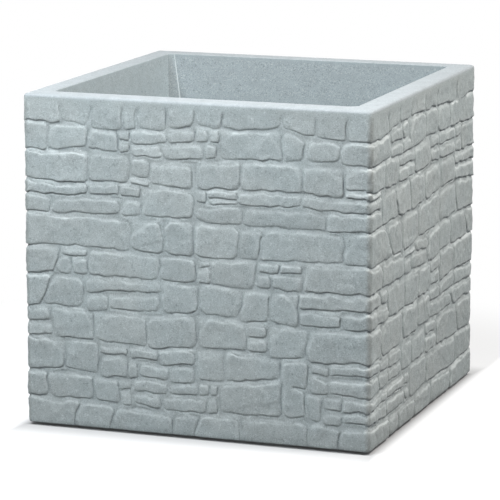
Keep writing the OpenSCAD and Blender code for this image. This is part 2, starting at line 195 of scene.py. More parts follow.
class PlanterBodySizes(bpy.types.PropertyGroup):
    """Sizes of the moulded body and its stonework"""

    detail: length("Detail", "Spacing of the points that form the stonework", 0.8 * MM, 0.5 * MM, 5 * MM)
    corner_r: length("Corner radius", "Radius of the upright outer corners", 7 * MM)
    edge_r: length("Edge radius", "Rounding of the outer edge of the rim", 3.5 * MM)
    shoulder_w: length("Shoulder width", "Width of the strip that slopes to the rim's outer edge", 5 * MM)
    shoulder_d: length("Shoulder drop", "How far that strip drops", 0.35 * MM)
    base_border: length("Base border", "Width of the underside's outer strip", 8 * MM)
    base_r: length("Base radius", "Rounding of the outer edge of the base", 2 * MM)
    rim_w: length("Rim width", "From the outer face to the planting space", 27 * MM)
    lip_r: length("Lip radius", "Rounding of the inner edge of the rim", 1.5 * MM)
    wall_lean: length("Wall lean", "How far an inner wall leans in down to the floor", 24 * MM)
    inner_r_top: length("Inner corners at the rim", "Radius of the inner corners at the rim", 6 * MM)
    inner_r_floor: length("Inner corners at the floor", "Radius of the inner corners below", 38 * MM)
    floor_r: length("Floor radius", "Rounding between the inner walls and the floor", 12 * MM)
    band_h: length("Plain band", "Height of the plain band below the rim", 17 * MM)
    band_back: length("Band set back", "How far the plain band lies behind the proudest stones", 1.1 * MM)
    relief: length("Relief", "How far the stones stand out from the joints", 3 * MM)
    arris: length("Arris", "Softness of the edges of the stones", 0.4 * MM)
    bevel: length("Bevel", "How far a stone slopes back to the joint over it or before it", 3.6 * MM)
    meeting_w: length("Meeting width", "How far round their meetings the joints open up", 2.8 * MM)
    lean_d: length("Lean", "How much the faces of the stones lean", 0.22 * MM)
    face_d: length("Face depth", "Depth that the faces of the stones stay above", 2.4 * MM)
    waver: length("Waver", "How far the outline of a stone strays from a straight line", 3.5 * MM)
    joint_edge: share("Joint edge", "How solid the softened wall is where a joint starts", 0.37)
    joint_share: share("Joint depth", "Depth of the joints as a share of the relief", 0.95)
    side_share: share("Side walls", "How much deeper the relief is on the side walls", 0.3)
    cut_w: length("Cuts", "Usual width of the flat cuts along the edges of the stones", 9 * MM)
    chip_d: length("Cut depth", "Greatest depth of the cuts and splits", 1.9 * MM)
    # Height that gives full dirt and painted shade in hollows, and full wear and painted highlight above
    shade_and_wear_d: length("Wear", "Height over the wall round about that shows as wear", 0.55 * MM)
    grain_d: length("Unevenness", "Height of the unevenness on the face of a stone", 1.0 * MM)
    drain_d: length("Drain bore", "Bore of the four drains", 26 * MM)
    socket_d: length("Socket", "Bore of the sockets of the feet", 10.2 * MM)
    socket_h: length("Socket depth", "Depth of the sockets of the feet", 8 * MM)
    vent_d: length("Vent bore", "Bore of the air vent in the base", 8 * MM)
    vent_h: length("Vent depth", "Depth of the air vent", 5 * MM)
    faces: IntProperty(
        name="Faces",
        description="About how many triangles the body is made of",
        default=270000,
        min=20000,
    )
    seed: IntProperty(name="Seed", description="Sets the irregularities of the stonework", default=7)


class PlanterFittingSizes(bpy.types.PropertyGroup):
    """Sizes of the plugs, washers and feet"""

    grip_w: length("Grip width", "Width of the grip on a plug", 26 * MM)
    grip_t: length("Grip thickness", "Thickness of the grip on a plug", 4 * MM)
    head_t: length("Head thickness", "Thickness of a plug's head", 3 * MM)
    stem_d: length("Stem", "Diameter of a plug's stem", 25.9 * MM)
    stem_wall: length("Stem wall", "Wall of the hollow stem", 2.5 * MM)
    stud_d: length("Stud", "Diameter of the stud of a foot", 10 * MM)
    pad_t: length("Pad", "Thickness of the pad of a foot", 3 * MM)
    vent_stem_d: length("Vent stem", "Diameter of the stem of the vent plug", 7.8 * MM)
    vent_head_t: length("Vent head", "Thickness of the head of the vent plug", 1.5 * MM)
    round_r: length("Small rounding", "Rounding of the edges of the small pieces", 0.6 * MM)


class PlanterColours(bpy.types.PropertyGroup):
    """Colours of the planter's finishes"""

    stone: tint("Stone", "Main colour of the stone effect", 176, 188, 191)
    rim: tint("Rim", "Colour of the rim", 170, 179, 185)
    # The inner walls take this colour and are then darkened by painted shade
    inside: tint("Inside", "Colour of the inner walls before they are dimmed", 176, 190, 196)
    stone_warm: tint("Warm stone", "Colour of the warmer clouds in the stone effect", 178, 188, 190)
    dark_fleck: tint("Dark flecks", "Colour of the dark flecks", 122, 134, 140)
    # Also the colour of the wear and painted highlight on the stones' edges and up-facing slopes
    light_fleck_and_highlight: tint("Light flecks", "Colour of the light flecks", 216, 225, 228)
    # The joints, hollows and down-facing slopes darken towards this colour with dirt and painted shade
    joint: tint("Joints", "Colour deep in the joints", 104, 112, 118)
    # Painted shade on the rounded upright corners blends towards this colour
    corner: tint("Corners", "Colour of the rubbed upright corners", 132, 135, 134)
    plug: tint("Plugs", "Colour of the plugs", 108, 117, 122)
    rubber: tint("Rubber", "Colour of the feet and washers", 34, 34, 36)


class PlanterStudio(bpy.types.PropertyGroup):
    """Camera, light and floor"""

    lens: FloatProperty(name="Lens", description="Focal length in millimetres", default=209.36)
    azimuth: FloatProperty(
        name="Azimuth",
        description="How far to the right of the front the camera stands",
        default=math.radians(19.893),
        subtype="ANGLE",
        unit="ROTATION",
    )
    elevation: FloatProperty(
        name="Elevation",
        description="How far above the horizon the camera stands",
        default=math.radians(11.104),
        subtype="ANGLE",
        unit="ROTATION",
    )
    distance: length("Distance", "From the camera to the point it looks at", 3306.465 * MM, 0.5, 20.0)
    aim_right: length("Aim right", "How far right of the middle the camera looks", -7.838 * MM, -1.0)
    aim_up: length("Aim up", "How far over the middle the camera looks", -11.806 * MM, -1.0)
    floor_r: length("Floor radius", "How far the floor reaches", 6.0, 1.0, 50.0)
    shadow_r: length("Shadow radius", "How far from the middle the floor shows shadows", 0.62, 0.1, 5.0)
    front: watts("Front", "high in front, at the left", 16.2)
    side: watts("Side", "high at the right", 31.0)
    over: watts("Over", "close in front, above the rim", 1.5)
    low: watts("Low", "lower and further in front", 3.0)
    low_side: watts("Low side", "lower at the right", 1.1)
    back: watts("Back", "low behind, at the left", 12.0)
    sky: FloatProperty(name="Sky", description="Strength of the even light from all round", default=0.0)
    floor: tint("Floor", "Colour of the floor as it lights the planter", 128, 128, 128)


# Places on the planter


def wall_path(along):
    """Points and outward directions in plan, at distances along the outside of the planter. The
    distances start at the left end of the front and run anticlockwise as seen from above."""
    radius = bpy.context.scene.planter_body.corner_r
    arc = math.pi / 2 * radius
    along = np.mod(along, wall_round())
    point = np.zeros(along.shape + (2,))
    out = np.zeros(along.shape + (2,))
    start = 0.0
    for side in range(4):
        turn = side * math.pi / 2
        ahead = np.array([math.cos(turn), math.sin(turn)])
        outward = np.array([math.sin(turn), -math.cos(turn)])
        reach, straight = side_sizes(side)
        past = along - start
        on_side = (past >= 0) & (past < straight)
        point[on_side] = outward * reach + ahead * (past[on_side] - straight / 2)[..., None]
        out[on_side] = outward
        past = past - straight
        on_corner = (past >= 0) & (past < arc)
        angle = turn - math.pi / 2 + past[on_corner] / radius
        direction = np.stack([np.cos(angle), np.sin(angle)], axis=-1)
        centre = outward * (reach - radius) + ahead * (straight / 2)
        point[on_corner] = centre + direction * radius
        out[on_corner] = direction
        start += straight + arc
    return point, out


def side_sizes(side):
    """How far a side stands from the middle, and the length of its straight part"""
    radius = bpy.context.scene.planter_body.corner_r
    if side % 2 == 0:
        return HALF_Y, 2 * (HALF_X - radius)
    return HALF_X, 2 * (HALF_Y - radius)


def wall_round():
    """The distance once round the outside of the planter"""
    radius = bpy.context.scene.planter_body.corner_r
    return 2 * (side_sizes(0)[1] + side_sizes(1)[1]) + 2 * math.pi * radius


def wall_columns(step):
    """Distances along the outside, about a step apart, with every corner's ends among them"""
    radius = bpy.context.scene.planter_body.corner_r
    arc = math.pi / 2 * radius
    columns = []
    start = 0.0
    for side in range(4):
        for stretch in (side_sizes(side)[1], arc):
            count = math.ceil(stretch / step)
            columns.append(start + np.arange(count) * stretch / count)
            start += stretch
    return np.concatenate(columns)


def inner_ring(half_x, half_y, radius, z):
    """A rounded rectangle at the height z, anticlockwise as seen from above"""
    points = []
    for side in range(4):
        turn = side * math.pi / 2
        ahead = Vector((math.cos(turn), math.sin(turn)))
        outward = Vector((math.sin(turn), -math.cos(turn)))
        reach, half = (half_y, half_x) if side % 2 == 0 else (half_x, half_y)
        for part in range(SIDE_PARTS):
            place = -(half - radius) + 2 * (half - radius) * part / SIDE_PARTS
            flat = outward * reach + ahead * place
            points.append((flat.x, flat.y, z))
        centre = outward * (reach - radius) + ahead * (half - radius)
        for part in range(CORNER_PARTS):
            angle = math.pi / 2 * part / CORNER_PARTS
            past = outward * math.cos(angle) ** CORNER_FLATNESS
            past += ahead * math.sin(angle) ** CORNER_FLATNESS
            flat = centre + past * radius
            points.append((flat.x, flat.y, z))
    return points


def circle(centre, radius, z, count=64):
    """A circle at the height z, anticlockwise as seen from above"""
    points = []
    for part in range(count):
        angle = 2 * math.pi * part / count
        points.append((centre.x + radius * math.cos(angle), centre.y + radius * math.sin(angle), z))
    return points


def middle(node):
    """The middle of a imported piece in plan"""
    low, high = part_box(node)
    return Vector(((low.x + high.x) / 2, (low.y + high.y) / 2))


# Fields over the wall: one value for each column and each row


def detail_step():
    """The spacing of the points that form the stonework"""
    return bpy.context.scene.planter_body.detail * 1


def soften(field, across, up=None):
    """The field blurred over about this many cells, joined up round the planter"""
    up = across if up is None else up
    if across > 0:
        offsets, weights = bell(across)
        field = sum(w * np.roll(field, k, axis=0) for k, w in zip(offsets, weights))
    if up > 0:
        offsets, weights = bell(up)
        reach = offsets[-1]
        rows = field.shape[1]
        padded = np.pad(field, ((0, 0), (reach, reach)), mode="edge")
        field = sum(w * padded[:, reach + k:reach + k + rows] for k, w in zip(offsets, weights))
    return field


def bell(cells):
    """Offsets and weights of a blur over about this many cells"""
    reach = max(1, math.ceil(3 * cells))
    offsets = np.arange(-reach, reach + 1)
    weights = np.exp(-0.5 * (offsets / cells) ** 2)
    return offsets, weights / weights.sum()


def ease(value):
    """A smooth step from 0 to 1"""
    value = np.clip(value, 0, 1)
    return value * value * (3 - 2 * value)


def roughened(along, level, cell, seed, angular=False):
    """Seeded unevenness from -1 to 1 with bumps about a cell wide, joined up round the planter. It is
    smooth, or made of straight stretches where it is angular."""
    around = max(4, round(wall_round() / cell))
    rows = math.ceil(TOP_Z / cell) + 2
    values = np.random.default_rng(seed).uniform(-1, 1, (around, rows))
    u = np.mod(along, wall_round()) / wall_round() * around
    v = np.clip(level, 0, TOP_Z) / cell
    column = np.floor(u).astype(int)
    row = np.floor(v).astype(int)
    right, up = (u - column, v - row) if angular else (ease(u - column), ease(v - row))
    column %= around
    after = (column + 1) % around
    low = values[column, row] * (1 - right) + values[after, row] * right
    high = values[column, row + 1] * (1 - right) + values[after, row + 1] * right
    return low * (1 - up) + high * up


def layered(along, level, seed, layers, angular=False):
    """Unevenness added up from layers, each with a height, the width of its bumps and its own seed"""
    return sum(
        height * roughened(along, level, cell, seed + k, angular)
        for k, (height, cell) in enumerate(layers)
    )


def packed_depth(along, level):
    """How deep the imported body's wall lies below its outermost face"""
    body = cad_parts["body"].data
    tree = BVHTree.FromPolygons(
        [vertex.co for vertex in body.vertices],
        [polygon.vertices for polygon in body.polygons],
    )
    relief = bpy.context.scene.planter_body.relief
    clear = 2 * MM
    point, out = wall_path(along)
    starts = np.concatenate([point + out * clear, level[..., None]], axis=-1).reshape(-1, 3)
    aims = out.reshape(-1, 2)
    depth = []
    for start, aim in zip(starts.tolist(), aims.tolist()):
        hit = tree.ray_cast(start, (-aim[0], -aim[1], 0.0), relief + 3 * clear)
        depth.append(relief if hit[3] is None else hit[3] - clear)
    return np.clip(np.array(depth).reshape(along.shape), 0, relief)


def number_stones(in_stone):
    """A number from 1 for each stone, the same all over it, and 0 in the joints"""
    columns, rows = in_stone.shape
    free = in_stone.copy()
    number = np.zeros(in_stone.shape, dtype=int)
    count = 0
    for column, row in np.argwhere(in_stone).tolist():
        if not free[column, row]:
            continue
        count += 1
        free[column, row] = False
        waiting = deque([(column, row)])
        while waiting:
            a, b = waiting.popleft()
            number[a, b] = count
            for c, d in ((a - 1, b), ((a + 1) % columns, b), (a, b - 1), (a, b + 1)):
                if 0 <= d < rows and free[c, d]:
                    free[c, d] = False
                    waiting.append((c % columns, d))
    return number, count


def spread_numbers(number, rounds):
    """The stones' numbers carried into the joints beside them"""
    for _ in range(rounds):
        for axis, shift in ((0, 1), (0, -1), (1, 1), (1, -1)):
            moved = np.roll(number, shift, axis=axis)
            if axis == 1:
                moved[:, 0 if shift == 1 else -1] = 0
            number = np.where(number == 0, moved, number)
    return number


def stone_measures(number, count, along, level):
    """For every place on the wall, how far it lies from the middle of its stone and how far that
    stone reaches, along the wall and up it"""
    inside = number > 0
    label = number[inside]
    first = np.zeros(count + 1)
    first[label[::-1]] = along[inside][::-1]
    half_round = wall_round() / 2
    beside = np.mod(along - first[number] + half_round, wall_round()) - half_round
    measures = []
    for values in (beside, level):
        low = np.full(count + 1, np.inf)
        high = np.full(count + 1, -np.inf)
        np.minimum.at(low, label, values[inside])
        np.maximum.at(high, label, values[inside])
        low[0] = high[0] = 0
        measures.append(values - ((low + high) / 2)[number])
        measures.append(((high - low) / 2)[number])
    return measures


def cut_back(trench, bed, lip, fall, upright):
    """How deep the joints cut into the stones: 1 at the steep edge of the stone above or before a
    joint, at least the bed's depth in all of it, and less and less into the stone that follows"""
    before = np.roll(trench, lip, axis=0) if upright else np.roll(trench, -lip, axis=1)
    deep = np.maximum(np.clip(1.3 * trench * (1 - before), 0, 1), bed)
    columns, rows = deep.shape
    if upright:
        for column in range(1 - columns, columns):
            deep[column] = np.maximum(deep[column], deep[column - 1] - fall[column])
    else:
        for row in range(rows - 2, -1, -1):
            deep[:, row] = np.maximum(deep[:, row], deep[:, row + 1] - fall[:, row])
    return deep


def shaped_faces(face, measures, pick, large, ragged, sizes):
    """The faces of the stones, which lean and have a ridge, a split and cuts of their own"""
    beside, half_w, above, half_h = measures
    small = np.minimum(half_w, half_h)

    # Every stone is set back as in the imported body, leans a little and has a faint ridge
    lean = np.clip(beside / np.maximum(half_w, 1 * MM), -1, 1) * pick[LEAN_ALONG]
    lean += np.clip(above / np.maximum(half_h, 1 * MM), -1, 1) * pick[LEAN_UP]
    face += sizes.lean_d * (lean + 0.7)
    turn = math.pi * pick[RIDGE_TURN]
    toward = beside * np.cos(turn) + above * np.sin(turn)
    across = toward - 0.4 * small * pick[RIDGE_PLACE] + 0.6 * MM * ragged
    face += 0.06 * np.minimum(np.abs(across), 11 * MM) * np.clip(pick[RIDGE_HEIGHT] + 0.3, 0, 1)

    # Part of some faces has split off along a ragged line
    turn = math.pi * pick[SPLIT_TURN]
    toward = beside * np.cos(turn) + above * np.sin(turn)
    split = toward - 0.5 * small * pick[SPLIT_PLACE] + 1.5 * MM * ragged
    drop = 0.3 * sizes.chip_d * ease(split / (1.2 * MM))
    face += np.where(pick[SPLIT_CHANCE] > 0.2, drop, 0) * large

    # Corners are cut off aslant and edges are worn down, so that no two stones have the same shape
    for cut in range(CUTS):
        slanting = cut % 2 == 1
        turn = 2 * math.pi * (cut + (0.45 if slanting else 0.2) * pick[CUT_TURN + cut]) / CUTS
        toward = beside * np.cos(turn) + above * np.sin(turn)
        inside = half_w * np.abs(np.cos(turn)) + half_h * np.abs(np.sin(turn)) - toward
        usual = 0.9 * small if slanting else sizes.cut_w
        strip = usual * (0.4 + 0.65 * pick[CUT_WIDTH + cut]) * large + 1.2 * MM * ragged
        slope = (0.5 if slanting else 0.26) * (1 + 0.4 * pick[CUT_WIDTH - 1 - cut])
        face += np.clip((strip - inside) * slope, 0, sizes.chip_d)
    return face


def joint_cuts(along, level, solid, pick, large, ragged, sizes):
    """How far down a joint each place lies. The joints are narrow, open up where they meet, and are
    faint in places where they stand upright."""
    step = detail_step()
    seed = sizes.seed
    stands = soften(1 - solid, 0, 4 * MM / step)
    lies = soften(1 - solid, 4 * MM / step, 0)
    upright = stands / np.maximum(stands + lies, 0.001)
    faint = ease((roughened(along, level, 24 * MM, seed + 10) + 0.6) / 0.9) * ease((upright - 0.5) / 0.25)
    wander = 0.05 * roughened(along, level, 11 * MM, seed + 11) + 0.05 * ragged
    narrow = sizes.joint_edge + wander - soften(solid, 0.8 * MM / step)
    open_up = sizes.joint_edge + wander + (0.15 + 0.06 * pick[MEETING]) * large - 0.13
    meeting = open_up - soften(solid, sizes.meeting_w / step)
    trench = ease(np.maximum(narrow / 0.22, meeting / 0.12) + 0.5)
    bed = (0.45 + 0.25 * roughened(along, level, 10 * MM, seed + 12)) * trench * (1 - 0.7 * faint)
    lip = max(1, round(1 * MM / step))
    gentle = np.clip(sizes.bevel * (1 + 0.6 * pick[SLOPE_BELOW] + 0.35 * ragged), 1.5 * MM, None)
    below = cut_back(trench, bed, lip, step / gentle, False)
    gentle = np.clip(sizes.bevel * (0.65 + 0.4 * pick[SLOPE_BEYOND] + 0.3 * ragged), 1.2 * MM, None)
    beyond = cut_back(trench * (1 - 0.7 * faint), bed, lip, step / gentle, True)
    return soften(np.maximum(below, beyond), sizes.arris / step)


def stonework(along, level):
    """The depth of the stonework below the outermost face, how much dirt and painted shade darken each
    place, how much wear and a painted highlight lighten it, and how much lighter or darker its stone is"""
    sizes = bpy.context.scene.planter_body
    step = detail_step()
    band_z = TOP_Z - sizes.band_h
    seed = sizes.seed
    waver = sizes.waver
    slide = layered(along, level, seed, ((0.55 * waver, 26 * MM), (0.55 * waver, 9 * MM)), True)
    lift = layered(along, level, seed + 2, ((0.45 * waver, 31 * MM), (0.5 * waver, 9 * MM)), True)
    packed = packed_depth(along + slide, np.clip(level + lift, BASE_Z + 6 * MM, band_z - 1 * MM))
    solid = 1 - packed / sizes.relief

    number, count = number_stones(solid > STONE_LEVEL)
    proudest = np.full(count + 1, sizes.relief)
    np.minimum.at(proudest, number, packed)
    number = spread_numbers(number, SPREAD_ROUNDS)
    measures = stone_measures(number, count, along, level)
    pick = np.random.default_rng(seed + 4).uniform(-1, 1, (DRAWS, count + 1))[:, number]
    large = ease((np.minimum(measures[1], measures[3]) - 5 * MM) / (6 * MM))
    ragged = layered(along, level, seed + 8, ((0.6, 7 * MM), (0.4, 3.6 * MM)))

    face = shaped_faces(proudest[number], measures, pick, large, ragged, sizes)
    rough = layered(along, level, seed + 5, ((0.5, 14 * MM), (0.4, 6 * MM), (0.35, 2.8 * MM)))
    face = soften(face + sizes.grain_d * (rough + 0.7), 0.5 * MM / step)
    face = sizes.face_d * (1 - np.exp(-np.clip(face, 0, None) / sizes.face_d))

    joint = joint_cuts(along, level, solid, pick, large, ragged, sizes)
    sideways = 1 + sizes.side_share * np.abs(wall_path(along[:, 0])[1][:, :1])
    joint_d = sizes.relief * sizes.joint_share * sideways
    depth = face * sideways * (1 - joint) + joint_d * joint
    fade = 1 - ease((level - band_z - 1 * MM) / (10 * MM))
    depth = np.clip(depth, 0, joint_d * 1.1) * fade + sizes.band_back * (1 - fade)
    shade = soften(pick[LIGHTNESS], 1.5 * MM / step) * fade

    # Dirt and painted shade darken the wall where it is lower than round about, and painted shade where
    # it faces down. Wear and a painted highlight lighten it where it is higher, and a painted highlight
    # where it faces up.
    lower = (depth - soften(depth, 1.8 * MM / step)) / sizes.shade_and_wear_d
    faces_up = soften(np.gradient(depth, step, axis=1), 0.4 * MM / step)
    lightened = np.clip(0.4 * np.clip(-lower, 0, 1) + 1.1 * np.clip(faces_up, 0, 1), 0, 1)
    dirt_and_shade = np.clip(lower + np.clip(-0.3 * faces_up, 0, 1), 0, 1)
    dirt_and_shade *= 0.8 + 0.5 * roughened(along, level, 13 * MM, seed + 13)
    return depth, np.clip(dirt_and_shade * sideways, 0, 1.4), np.clip(lightened * sideways, 0, 1.2), shade


class Shell:
    """The points and faces of a closed mesh, gathered ring by ring"""

    def __init__(self):
        self.points = []
        self.faces = []

    def ring(self, points):
        """Adds points and returns their numbers"""
        start = len(self.points)
        self.points.extend(points)
        return list(range(start, len(self.points)))

    def join(self, first, second):
        """Faces between two closed rings with the same number of points"""
        count = len(first)
        for k in range(count):
            after = (k + 1) % count
            self.faces.append((first[k], first[after], second[after], second[k]))

    def rings(self, rings):
        """Faces between each ring and the next"""
        for first, second in zip(rings, rings[1:]):
            self.join(first, second)

    def fill(self, outline, holes, facing_up):
        """Flat faces inside the outline and outside the holes"""
        loops = [outline] + holes
        numbers = [number for loop in loops for number in loop]
        hole_of = {number: k for k, loop in enumerate(holes) for number in loop}
        flat = [Vector(self.points[number][:2]) for number in numbers]
        edges = []
        start = 0
        for loop in loops:
            count = len(loop)
            edges += [(start + k, start + (k + 1) % count) for k in range(count)]
            start += count
        made = delaunay_2d_cdt(flat, edges, [], 1, 1e-9)
        if len(made[0]) != len(flat):
            raise RuntimeError("A flat face of the planter has edges that cross or touch")
        for face in made[2]:
            corners = [made[3][k][0] for k in face]
            in_holes = {hole_of.get(numbers[k], -1) for k in corners}
            if len(in_holes) == 1 and -1 not in in_holes:
                continue
            a, b, c = (flat[k] for k in corners)
            turns_left = (b - a).cross(c - a) > 0
            order = corners if turns_left == facing_up else corners[::-1]
            self.faces.append(tuple(numbers[k] for k in order))

    def mesh(self, name):
        """The mesh, shaded smooth"""
        made = bpy.data.meshes.new(name)
        made.from_pydata(self.points, [], self.faces)
        made.shade_smooth()
        made.update()
        return made


def add_piece(mesh, body, node, material):
    """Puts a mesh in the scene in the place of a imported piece"""
    piece = bpy.data.objects.new(mesh.name, mesh)
    bpy.context.scene.collection.objects.link(piece)
    mesh.materials.append(material)
    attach(piece, body)
    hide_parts(node)
    return piece


def turned(shell, centre, profile, count=64):
    """Adds a turned shape through points (radius, height), which start and end on the axis"""
    rings = [shell.ring(circle(centre, radius, z, count)) for radius, z in profile[1:-1]]
    shell.rings(rings)
    for ring, (_, z), up in ((rings[0], profile[0], False), (rings[-1], profile[-1], True)):
        tip = shell.ring([(centre.x, centre.y, z)])[0]
        for k in range(count):
            a, b = ring[k], ring[(k + 1) % count]
            shell.faces.append((a, b, tip) if up else (b, a, tip))
    return rings


def round_corner(centre, radius, start, end, steps=4):
    """Points on an arc in a profile, from one angle to another in degrees"""
    points = []
    for k in range(steps + 1):
        angle = math.radians(start + (end - start) * k / steps)
        points.append((centre[0] + radius * math.cos(angle), centre[1] + radius * math.sin(angle)))
    return points


# Finishes


def add_node(tree, kind, settings=None, inputs=None):
    """Adds a node, sets its options and fills its inputs with values or with other nodes' outputs"""
    made = tree.nodes.new(kind)
    for name, value in (settings or {}).items():
        setattr(made, name, value)
    for name, value in (inputs or {}).items():
        if isinstance(value, bpy.types.NodeSocket):
            tree.links.new(value, made.inputs[name])
        else:
            made.inputs[name].default_value = value
    return made


def calculate(tree, operation, first, second=0.0):
    """The result of a sum on one or two values"""
    inputs = {0: first, 1: second}
    return add_node(tree, "ShaderNodeMath", {"operation": operation}, inputs).outputs[0]


def between(tree, value, low, high, to_low=0.0, to_high=1.0):
    """The value taken smoothly from one range to another"""
    settings = {"interpolation_type": "SMOOTHSTEP"}
    inputs = {"Value": value, "From Min": low, "From Max": high, "To Min": to_low, "To Max": to_high}
    return add_node(tree, "ShaderNodeMapRange", settings, inputs).outputs["Result"]


def blend_colour(tree, amount, first, second, way="MIX"):
    """Two colours blended by an amount"""
    made = add_node(tree, "ShaderNodeMix", {"data_type": "RGBA", "blend_type": way})
    for socket, value in ((made.inputs[0], amount), (made.inputs[6], first), (made.inputs[7], second)):
        if isinstance(value, bpy.types.NodeSocket):
            tree.links.new(value, socket)
        elif isinstance(value, float):
            socket.default_value = value
        else:
            socket.default_value = (*value, 1.0)
    return made.outputs[2]


def noise(tree, place, scale, detail=2.0, roughness=0.5):
    """Noise with about this many bumps to a metre"""
    inputs = {"Vector": place, "Scale": scale, "Detail": detail, "Roughness": roughness}
    return add_node(tree, "ShaderNodeTexNoise", {}, inputs).outputs["Fac"]


def stored(tree, name):
    """A value that the mesh holds at each point"""
    return add_node(tree, "ShaderNodeAttribute", {"attribute_name": name}).outputs["Fac"]


def grey_of(tree, lightness):
    """A grey as light as the value"""
    parts = {0: lightness, 1: lightness, 2: lightness}
    return add_node(tree, "ShaderNodeCombineColor", {}, parts).outputs[0]


def beyond_walls(tree, apart):
    """How far a place lies beyond the side and the front walls, and below 0 within them"""
    out_x = calculate(tree, "SUBTRACT", calculate(tree, "ABSOLUTE", apart.outputs[0]), HALF_X)
    out_y = calculate(tree, "SUBTRACT", calculate(tree, "ABSOLUTE", apart.outputs[1]), HALF_Y)
    return out_x, out_y


def new_material(name, roughness, specular):
    """An empty material with its shader, and the place on the object that its patterns follow"""
    material = bpy.data.materials.new(name)
    material.use_nodes = True
    tree = material.node_tree
    shader = tree.nodes["Principled BSDF"]
    shader.inputs["Roughness"].default_value = roughness
    shader.inputs["Specular IOR Level"].default_value = specular
    place = add_node(tree, "ShaderNodeTexCoord").outputs["Object"]
    return material, tree, shader, place


def granite_plastic():
    """Matt moulded plastic with a granite effect: clouds, dark and light flecks, joints and hollows
    darkened by dirt and painted shade, edges lightened by wear and a painted highlight, and painted
    shade on the inside and on the upright corners"""
    colours = bpy.context.scene.planter_colours
    material, tree, shader, place = new_material("granite_plastic", 0.6, 0.35)
    cloud = between(tree, noise(tree, place, 14.0, 3.0), 0.38, 0.62)
    colour = blend_colour(tree, cloud, colours.stone, colours.stone_warm)
    apart = add_node(tree, "ShaderNodeSeparateXYZ", {}, {0: place})
    on_rim = between(tree, apart.outputs[2], TOP_Z - 5 * MM, TOP_Z - 2 * MM)
    colour = blend_colour(tree, on_rim, colour, colours.rim)
    outside = between(tree, stored(tree, "shade"), -3.0, -2.0)
    colour = blend_colour(tree, outside, colours.inside, colour)

    fine = noise(tree, place, FINE_FLECKS, 2.0, 0.6)
    coarse = noise(tree, place, COARSE_FLECKS, 2.0, 0.6)
    dark = calculate(tree, "MAXIMUM", between(tree, fine, 0.57, 0.66), between(tree, coarse, 0.62, 0.70))
    light = calculate(tree, "MAXIMUM", between(tree, fine, 0.42, 0.34), between(tree, coarse, 0.36, 0.30))
    flecked = between(tree, on_rim, 0.0, 1.0, 0.58, 0.25)
    colour = blend_colour(tree, calculate(tree, "MULTIPLY", dark, flecked), colour, colours.dark_fleck)
    colour = blend_colour(tree, calculate(tree, "MULTIPLY", light, flecked), colour, colours.light_fleck_and_highlight)

    patch = between(tree, noise(tree, place, 75.0, 4.0, 0.6), 0.3, 0.7, 0.95, 1.05)
    # The stones' own tones and the painted shade of the inside set the lightness
    shade = calculate(tree, "ADD", 1.0, calculate(tree, "MULTIPLY", stored(tree, "shade"), SHADE_STEP))
    lightness = calculate(tree, "MULTIPLY", patch, shade)
    colour = blend_colour(tree, 1.0, colour, grey_of(tree, lightness), "MULTIPLY")

    # Dirt and painted shade in the joints and hollows and on faces turned down
    joint = calculate(tree, "MULTIPLY", stored(tree, "joint"), 0.6)
    colour = blend_colour(tree, joint, colour, colours.joint)
    # Wear and a painted highlight on raised edges and on faces turned up
    lightened = calculate(tree, "MULTIPLY", stored(tree, "edge"), 0.75)
    colour = blend_colour(tree, lightened, colour, colours.light_fleck_and_highlight)

    # Painted shade on the rounded upright corners, ragged and fading out below the rim
    out_x, out_y = beyond_walls(tree, apart)
    ragged = calculate(tree, "MULTIPLY", calculate(tree, "SUBTRACT", coarse, 0.5), 4 * MM)
    from_corner = calculate(tree, "ADD", calculate(tree, "ADD", out_x, out_y), ragged)
    corner_painted_shade = between(tree, from_corner, -9 * MM, -4 * MM, 0.0, 0.5)
    below_rim = between(tree, apart.outputs[2], TOP_Z - 12 * MM, TOP_Z - 5 * MM, 1.0, 0.0)
    colour = blend_colour(tree, calculate(tree, "MULTIPLY", corner_painted_shade, below_rim), colour, colours.corner)
    tree.links.new(colour, shader.inputs["Base Color"])

    rough = between(tree, coarse, 0.3, 0.7, 0.52, 0.70)
    tree.links.new(rough, shader.inputs["Roughness"])
    height = calculate(tree, "ADD", calculate(tree, "MULTIPLY", coarse, 1.5), fine)
    bump = add_node(tree, "ShaderNodeBump", {}, {"Strength": 0.35, "Distance": 0.3 * MM, "Height": height})
    tree.links.new(bump.outputs["Normal"], shader.inputs["Normal"])
    return material


def small_part_finish(name, colour, roughness, specular, grain):
    """Matt plastic or rubber for the small pieces, cloudy, finely grained and paler along its edges"""
    material, tree, shader, place = new_material(name, roughness, specular)
    cloud = between(tree, noise(tree, place, 120.0, 3.0), 0.35, 0.65, 0.82, 1.1)
    shaded = blend_colour(tree, 1.0, colour, grey_of(tree, cloud), "MULTIPLY")
    paler = [min(1.0, part * 1.6 + 0.03) for part in colour]
    scuffs = between(tree, noise(tree, place, 400.0, 3.0), 0.4, 0.62)
    lightened = calculate(tree, "MULTIPLY", stored(tree, "edge"), scuffs)
    shaded = blend_colour(tree, calculate(tree, "MULTIPLY", lightened, 0.6), shaded, paler)
    tree.links.new(shaded, shader.inputs["Base Color"])
    fine = noise(tree, place, grain, 2.0)
    rough = between(tree, fine, 0.3, 0.7, roughness - 0.08, roughness + 0.08)
    tree.links.new(rough, shader.inputs["Roughness"])
    bump = add_node(tree, "ShaderNodeBump", {}, {"Strength": 0.3, "Distance": 0.1 * MM, "Height": fine})
    tree.links.new(bump.outputs["Normal"], shader.inputs["Normal"])
    return material


def finish_named(name):
    """A finish of the planter, made the first time that it is asked for"""
    if name in bpy.data.materials:
        return bpy.data.materials[name]
    colours = bpy.context.scene.planter_colours
    if name == "granite_plastic":
        return granite_plastic()
    if name == "plug_plastic":
        return small_part_finish(name, colours.plug, 0.5, 0.4, 1100.0)
    return small_part_finish(name, colours.rubber, 0.72, 0.3, 900.0)


def mark_edges(mesh, values):
    """Stores how much each point of a small piece lies on a worn edge"""
    mesh.attributes.new("edge", "FLOAT", "POINT").data.foreach_set("value", values)


# The pieces


